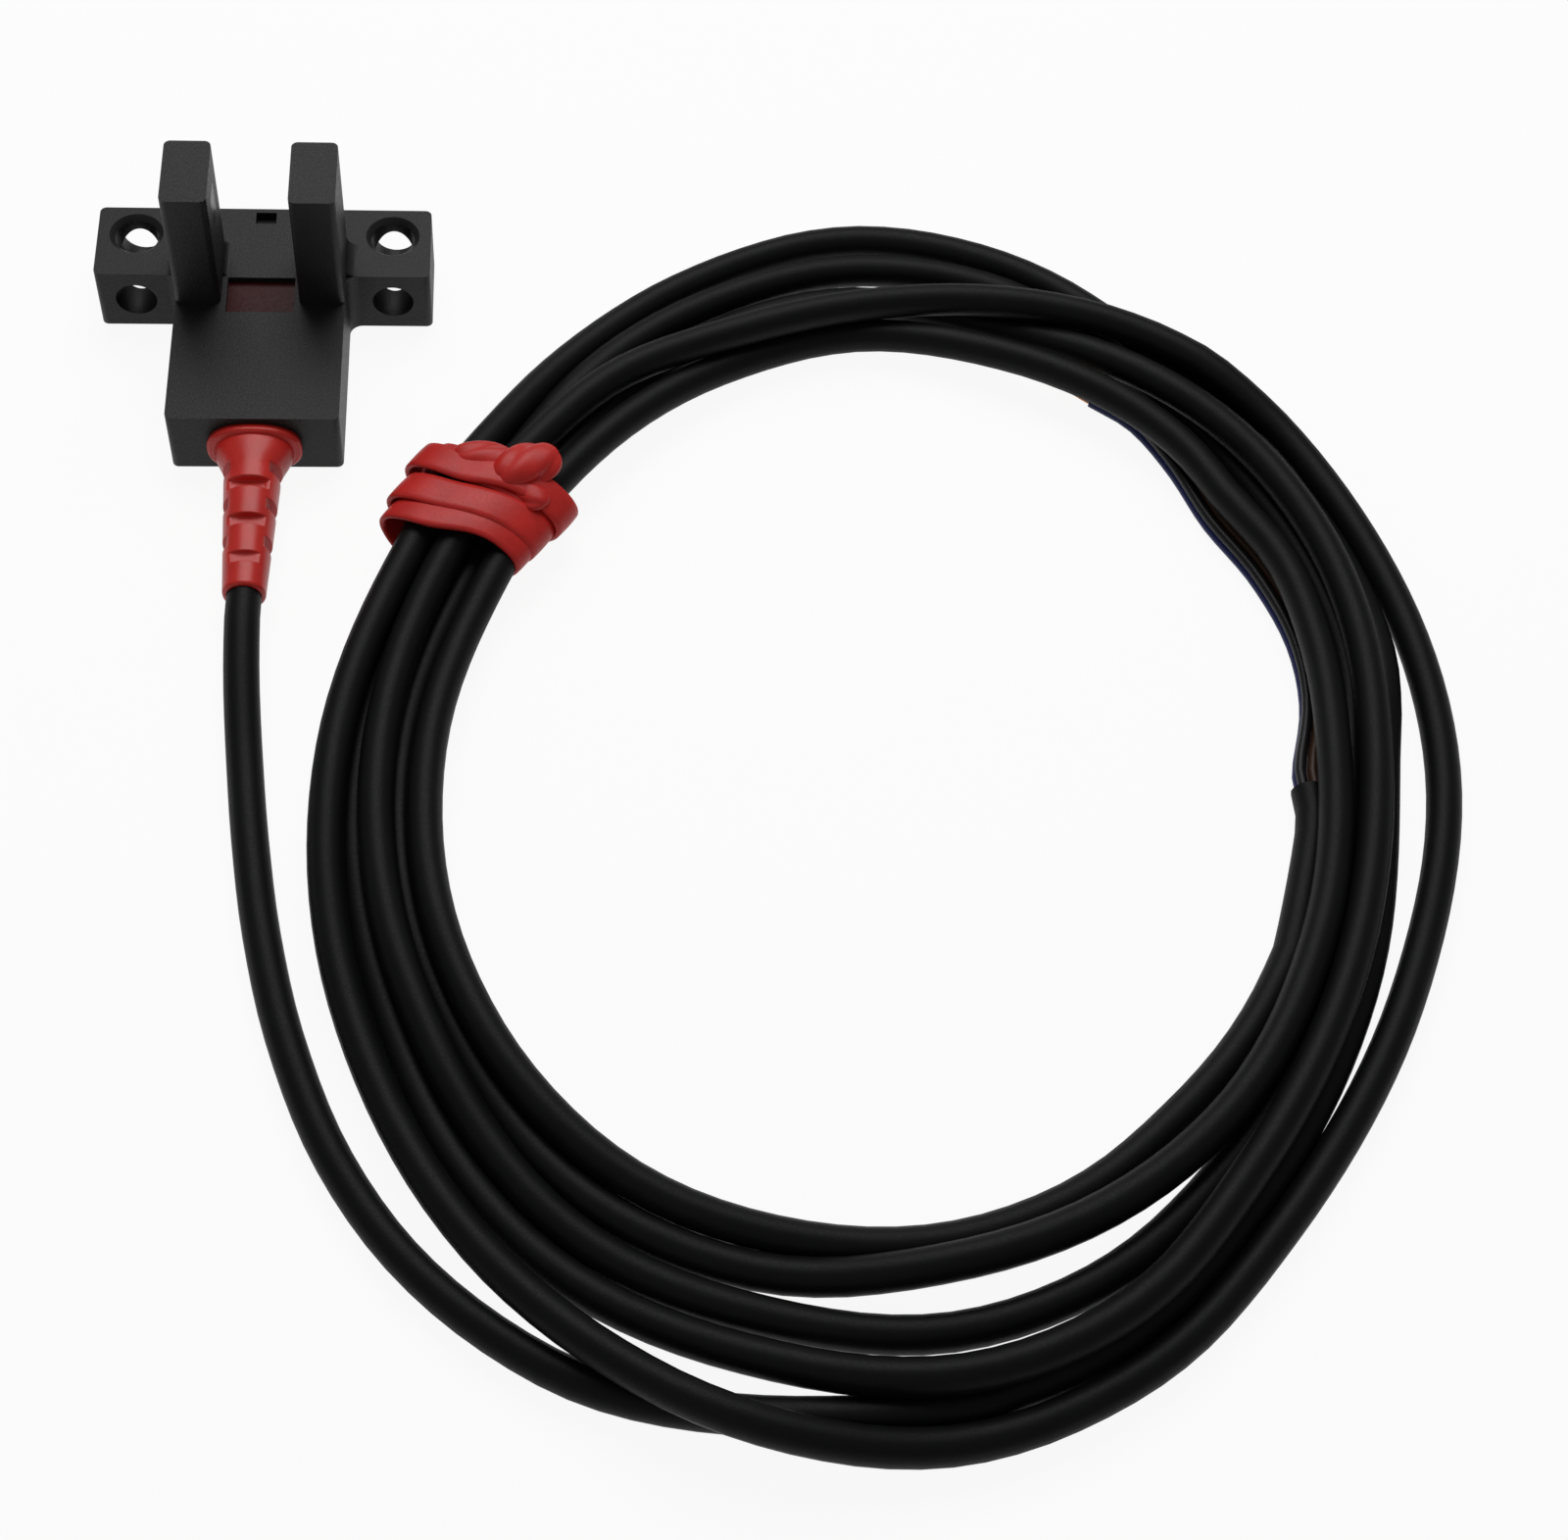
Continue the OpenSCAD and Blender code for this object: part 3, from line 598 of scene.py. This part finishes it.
class FORKSENSOR_OT_boot(bpy.types.Operator):
    """Builds the soft strain relief with its rim, dome and slotted stem"""
    bl_idname = "fork_sensor.boot"
    bl_label = "Boot"

    SIDES = 96
    RIM_STEPS, DOME_STEPS, STEM_STEPS, END_STEPS = 8, 40, 240, 6

    def execute(self, context):
        settings = context.scene.fork_sensor.boot
        red = grained_finish("boot_red", settings.colour, mottle=0.1, mottle_size=2.5, grain_size=0.1,
                             rough=(0.28, 0.4), bump=0.12, specular=0.36)
        rings = []
        for y, wide, high, power in self.outline(settings):
            ring = []
            for k in range(self.SIDES):
                turn = 2 * math.pi * k / self.SIDES
                c, s = math.cos(turn), math.sin(turn)
                size = (abs(c / wide) ** power + abs(s / high) ** power) ** (-1 / power)
                size = self.cut(y, c, s, size)
                ring.append((c * size, y, BOOT_AXIS_Z + s * size))
            rings.append(ring)
        points, faces = lofted(rings)
        mesh_piece("boot_sleeve", points, faces, red, "boot_red", "cable_boot")
        return {"FINISHED"}

    def outline(self, settings):
        """Place, half width, half height and squareness of the boot's section from the wall to the lead."""
        dome = settings.dome_width / MM / 2
        start, end = settings.stem_start / MM / 2, settings.stem_end / MM / 2
        rim_w, rim_h = BOOT_RIM
        rows = [(BOOT_FRONT + RIM_SINK, rim_w * RIM_BACK, rim_h * RIM_BACK, RIM_SQUARE)]
        for k in range(self.RIM_STEPS + 1):
            turn = math.pi / 2 * k / self.RIM_STEPS
            y = BOOT_FRONT - (RIM_DEPTH - RIM_ROUND) - RIM_ROUND * math.sin(turn)
            inset = RIM_ROUND * (1 - math.cos(turn))
            rows.append((y, rim_w - inset, rim_h - inset, RIM_SQUARE))
        dome_from = BOOT_FRONT - RIM_DEPTH
        dome_high = min(dome, rim_h - DOME_DROP)
        for k in range(self.DOME_STEPS + 1):
            t = k / self.DOME_STEPS
            flare = (0.5 + 0.5 * math.cos(math.pi * t)) ** DOME_FLARE
            wide = start + (dome - start) * flare
            high = start + (dome_high - start) * flare
            rows.append((dome_from + (STEM_START - dome_from) * t, wide, high, DOME_SQUARE))
        stem_to = BOOT_END + END_ROUND
        for k in range(1, self.STEM_STEPS + 1):
            t = k / self.STEM_STEPS
            size = start + (end - start) * t
            rows.append((STEM_START + (stem_to - STEM_START) * t, size, size, STEM_SQUARE))
        for k in range(1, self.END_STEPS + 1):
            turn = math.pi / 2 * k / self.END_STEPS
            size = end - END_ROUND * (1 - math.cos(turn))
            rows.append((stem_to - END_ROUND * math.sin(turn), size, size, STEM_SQUARE))
        return rows

    def cut(self, y, c, s, size):
        """The surface drops to the slot floor inside the slots of the stem."""
        upright = abs(s) > abs(c)
        step = (SLOT_FIRST[0 if upright else 1] - y) / SLOT_PITCH
        if not 0 <= round(step) < SLOT_COUNT:
            return size
        near = abs(step - round(step)) * SLOT_PITCH
        edge = min(1, max(0, (SLOT_WIDTH / 2 + SLOT_EDGE / 2 - near) / SLOT_EDGE))
        edge = edge * edge * (3 - 2 * edge)
        flat = SLOT_FLOOR / max(abs(c), abs(s))
        return size + (min(size, flat) - size) * edge


class FORKSENSOR_OT_tie(bpy.types.Operator):
    """Wraps the strip round the coil and knots it"""
    bl_idname = "fork_sensor.tie"
    bl_label = "Tie"

    STRIP = 0.42
    CROWN = 0.05
    FLOOR_GAP = 0.12
    WRAP_STEPS = 96
    FACE_STEPS = 6
    EDGE_ROUND = 0.6
    STRAND_SIDES = 24
    # Half spans, in radians, over which the bundle's outline is evened out and the strip is stretched, with their steps
    EVENED, STRETCHED = 0.35, 0.7
    EVENED_STEPS, STRETCHED_STEPS = 15, 41
    # Where the slack is widest, in radians, how closely it gathers there, and how far a turn wavers along the bundle
    SLACK_TURN, SLACK_POWER = 0.25, 8
    WAVER = 0.08
    # Each turn of the strip: place along the bundle, width, lean, lift and slack at the outer side
    WRAPS = (
        (-1.4, 2.8, 0.4, 0.0, 0.8),
        (3.5, 2.3, 1.4, 0.0, 0.4),
        (1.5, 2.8, 1.3, 0.16, 0.9),
        (-1.4, 2.7, 1.3, 0.5, 1.2),
    )
    # Each fold of the knot: place along, distance from the coil's middle, height, heading and half sizes
    FOLDS = (
        (-2.4, 38.0, 5.8, 25, (2.6, 1.4, 0.95)),
        (-3.4, 35.1, 5.9, 60, (2.7, 1.9, 1.4)),
        (-2.0, 34.0, 5.2, -15, (2.0, 1.4, 0.9)),
    )
    FOLD_RINGS, FOLD_SIDES = 24, 48
    FOLD_ENDS = 86  # degrees
    FOLD_UNDERSIDE = 0.4
    FOLD_TAPER = 0.7
    CREASE, CREASE_POWER = 0.2, 8
    WARP = 0.05

    def execute(self, context):
        settings = context.scene.fork_sensor.lead
        red = grained_finish("tie_red", settings.tie_colour, mottle=0.12, mottle_size=2.0, grain_size=0.12,
                             rough=(0.36, 0.5), bump=0.12, specular=0.3)
        turn = math.radians(TIE_ANGLE)
        self.out = np.array([math.cos(turn), math.sin(turn), 0])
        self.along = np.array([-math.sin(turn), math.cos(turn), 0])
        diameter = settings.diameter / MM
        self.bundle(settled_lead(diameter), diameter)
        wraps = [self.wrap(*row) for row in self.WRAPS]
        folds = [self.fold(*row) for row in self.FOLDS]
        points, faces = joined(wraps + folds)
        mesh_piece("tie_strip", points, faces, red, "tie_red", "coil_tie")
        return {"FINISHED"}

    def bundle(self, lead, diameter):
        """Middle and outline of the strands where the strip goes round them."""
        flat = lead - np.array([*COIL_MIDDLE, 0])
        distance = flat @ self.out
        here = (np.abs(flat @ self.along) < TIE_STRETCH) & (distance > 0)
        strands = np.stack([distance[here], lead[here, 2]], 1)
        turns = np.linspace(0, 2 * math.pi, self.STRAND_SIDES, endpoint=False)
        round_strand = [(math.cos(a), math.sin(a)) for a in turns]
        cloud = (strands[:, None] + diameter / 2 * np.array(round_strand)[None]).reshape(-1, 2)
        self.middle = (cloud.max(0) + cloud.min(0)) / 2
        self.cloud = cloud - self.middle

    def support(self, turn):
        """How far the bundle reaches in one direction, evened out over the directions next to it."""
        turns = np.linspace(turn - self.EVENED, turn + self.EVENED, self.EVENED_STEPS)
        ways = np.stack([np.cos(turns), np.sin(turns)], 1)
        return float(np.mean((self.cloud @ ways.T).max(0)))

    def reach(self, turn):
        """How far the stretched strip stands from the bundle's middle in one direction."""
        ways = np.linspace(turn - self.STRETCHED, turn + self.STRETCHED, self.STRETCHED_STEPS)
        return min(self.support(way) / math.cos(way - turn) for way in ways)

    def place(self, turn, along, r):
        """A point of the strip, never lower than just above the floor."""
        way = r * math.cos(turn) + self.middle[0]
        up = max(r * math.sin(turn) + self.middle[1], self.FLOOR_GAP)
        return np.array([*COIL_MIDDLE, 0]) + way * self.out + along * self.along + np.array([0, 0, up])

    def wrap(self, at, width, lean, lift, slack):
        """One turn of the strip round the bundle, as a closed band with rounded edges."""
        section = self.section(width, self.STRIP)
        rings = []
        for k in range(self.WRAP_STEPS):
            turn = 2 * math.pi * k / self.WRAP_STEPS
            loose = slack * max(0, math.cos(turn - self.SLACK_TURN)) ** self.SLACK_POWER
            slant = at + lean * math.cos(turn) + self.WAVER * math.sin(3 * turn + at)
            stand = self.reach(turn) + lift + loose
            rings.append([self.place(turn, slant + u, stand + v) for u, v in section])
        return lofted(rings, closed=True)

    def section(self, width, thick):
        """A flat strip's section with rounded edges and a slight crown."""
        half, edge = width / 2, thick / 2
        flat = half - edge * self.EDGE_ROUND
        steps = [-1 + 2 * k / self.FACE_STEPS for k in range(self.FACE_STEPS + 1)]
        top = [(t * flat, thick + self.CROWN * (1 - t * t)) for t in steps]
        bottom = [(-t * flat, 0.0) for t in steps]
        return top + [(half, edge)] + bottom + [(-half, edge)]

    def fold(self, along, out, height, heading, sizes):
        """One puffed fold of the knot, creased along its length and flatter underneath."""
        middle = np.array([*COIL_MIDDLE, height]) + out * self.out + along * self.along
        angle = math.radians(heading)
        way = -math.cos(angle) * self.out - math.sin(angle) * self.along
        side = np.cross((0, 0, 1), way)
        length, width, rise = sizes
        rings = []
        for i in range(self.FOLD_RINGS + 1):
            t = math.radians(self.FOLD_ENDS * (2 * i / self.FOLD_RINGS - 1))
            centre, girth = middle + way * length * math.sin(t), math.cos(t) ** self.FOLD_TAPER
            ring = []
            for k in range(self.FOLD_SIDES):
                turn = 2 * math.pi * k / self.FOLD_SIDES
                furrow = abs(math.sin(1.5 * turn + 1.5 * t)) ** self.CREASE_POWER
                crease = 1 - self.CREASE * furrow + self.WARP * math.sin(2 * turn + 3 * t)
                across = width * math.cos(turn) * crease
                up = rise * math.sin(turn) * crease
                up = max(up, self.FOLD_UNDERSIDE * up)
                ring.append(centre + girth * (across * side + np.array([0, 0, up])))
            rings.append(ring)
        return lofted(rings)


class FORKSENSOR_OT_lead(bpy.types.Operator):
    """Winds the lead from the boot through the coil to the jacket's end"""
    bl_idname = "fork_sensor.lead"
    bl_label = "Lead"

    ROUNDNESS = 5

    def execute(self, context):
        settings = context.scene.fork_sensor.lead
        jacket = grained_finish("cable_black", settings.colour, mottle=0.15, mottle_size=6, grain_size=0.14,
                                rough=(0.44, 0.56), bump=0.1, specular=0.12)
        diameter = settings.diameter
        line = settled_lead(diameter / MM)
        lead = cord_piece("lead_jacket", line, diameter / MM, self.ROUNDNESS, jacket, "cable_black",
                          "cable_tail", "cable_coil", "cable_end")
        dress("cable_stub", jacket)
        return {"FINISHED"}


class FORKSENSOR_OT_cores(bpy.types.Operator):
    """Lays the four insulated cores and their stripped tips and finishes the cores inside"""
    bl_idname = "fork_sensor.cores"
    bl_label = "Cores"

    COLOURS = {"blue": (0.012, 0.016, 0.09), "white": (0.8, 0.8, 0.78), "black": (0.007, 0.007, 0.0075),
               "brown": (0.04, 0.018, 0.01)}
    ROUNDNESS = 3
    # Wires round the middle one of a bare tip, their turns over its length and how far they spread towards its end
    AROUND, TWIST, FRAY = 6, 0.5, 0.12
    TIP_STEPS, WIRE_SIDES = 20, 6
    INNER = {"inner_core_a": "blue", "inner_core_b": "white", "inner_core_c": "black", "inner_core_d": "brown"}

    def execute(self, context):
        settings = context.scene.fork_sensor.lead
        thick = settings.core_diameter / MM
        copper = grained_finish("bare_copper", (0.72, 0.4, 0.26), mottle=0.12, mottle_size=0.5, grain_size=0.05,
                                rough=(0.22, 0.38), bump=0.1, metallic=1.0)
        finishes = {}
        for colour, rgb in self.COLOURS.items():
            finishes[colour] = grained_finish("core_" + colour, rgb, mottle=0.1, mottle_size=2, grain_size=0.08,
                                              rough=(0.32, 0.45), bump=0.08, specular=0.2)
        for name, colour in self.INNER.items():
            dress(name, finishes[colour])
        for colour, start, lay in CORES:
            knots = self.core_points(start, lay)
            line = even_points(smooth_curve(knots, CORE_SPAN), CORE_STEP)
            tip = self.strands("bare_tip_" + colour, knots, thick * TIP_WIDTH, copper, "tip_" + colour)
            core = cord_piece("core_sleeve_" + colour, line, thick, self.ROUNDNESS, finishes[colour],
                              "core_" + colour, "core_" + colour)
        return {"FINISHED"}

    def ahead(self, points, i):
        """The direction of the line at one of its points."""
        way = points[min(i + 1, len(points) - 1)] - points[max(i - 1, 0)]
        return way / np.linalg.norm(way)

    def core_points(self, start, lay):
        """One core's points: beside the others at the jacket, then on its own side of the shared route."""
        route = np.asarray(CORE_ROUTE, float)
        made = []
        for i in range(len(route)):
            share = min(1, max(0, i - 1) / 3)  # none at the first two points, all of it from the fifth on
            q = (1 - share) * np.array(start) + share * np.array(lay)
            across = np.cross(self.ahead(route, i), (0, 0, 1))
            across = across / np.linalg.norm(across)
            made.append(route[i] - q[0] * across + np.array([0, 0, q[1]]))
        return np.array(made)

    def strands(self, name, knots, diameter, copper, node_name):
        """Fine wires twisted round a middle one, which comes last."""
        way = self.ahead(knots, len(knots) - 1)
        side = np.cross(way, (0, 0, 1))
        side = side / np.linalg.norm(side)
        over = np.cross(side, way)
        wire_radius = diameter / 6
        outline = [wire_radius * (math.cos(a) * side + math.sin(a) * over)
                   for a in np.linspace(0, 2 * math.pi, self.WIRE_SIDES, endpoint=False)]
        wires = []
        for k in range(self.AROUND + 1):
            rings = []
            for i in range(self.TIP_STEPS + 1):
                t = i / self.TIP_STEPS
                turn = 2 * math.pi * (k / self.AROUND + self.TWIST * t)
                off = 0 if k == self.AROUND else 2 * wire_radius * (1 + self.FRAY * t)
                centre = knots[-1] + way * (TIP_LENGTH * t - TIP_START)
                centre = centre + off * (math.cos(turn) * side + math.sin(turn) * over)
                rings.append([centre + point for point in outline])
            wires.append(lofted(rings))
        points, faces = joined(wires)
        return mesh_piece(name, points, faces, copper, "bare_copper", node_name)


STEPS = (FORKSENSOR_OT_stage, FORKSENSOR_OT_housing, FORKSENSOR_OT_optics, FORKSENSOR_OT_circuit, FORKSENSOR_OT_boot,
         FORKSENSOR_OT_tie, FORKSENSOR_OT_lead, FORKSENSOR_OT_cores)


class FORKSENSOR_PT_panel(bpy.types.Panel):
    """Settings and steps of the fork sensor"""
    bl_idname = "FORKSENSOR_PT_panel"
    bl_label = "Fork Sensor"
    bl_space_type = "VIEW_3D"
    bl_region_type = "UI"
    bl_category = "Fork Sensor"

    def draw(self, context):
        settings = context.scene.fork_sensor
        for group in (settings.housing, settings.boot, settings.lead, settings.stage):
            box = self.layout.box()
            for name in group.__annotations__:
                box.prop(group, name)
        for step in STEPS:
            self.layout.operator(step.bl_idname)


CLASSES = (HousingSettings, BootSettings, LeadSettings, StageSettings, ForkSensorSettings, *STEPS, FORKSENSOR_PT_panel)


def register():
    """Adds the settings, the steps and the panel."""
    for each in CLASSES:
        bpy.utils.register_class(each)
    bpy.types.Scene.fork_sensor = bpy.props.PointerProperty(type=ForkSensorSettings)


def unregister():
    """Takes them out again."""
    del bpy.types.Scene.fork_sensor
    for each in reversed(CLASSES):
        bpy.utils.unregister_class(each)


def main():
    """Builds the sensor step by step."""
    register()
    bpy.ops.fork_sensor.stage()
    bpy.ops.fork_sensor.housing()
    bpy.ops.fork_sensor.optics()
    bpy.ops.fork_sensor.circuit()
    bpy.ops.fork_sensor.boot()
    bpy.ops.fork_sensor.tie()
    bpy.ops.fork_sensor.lead()
    bpy.ops.fork_sensor.cores()


if __name__ == "__main__":
    main()
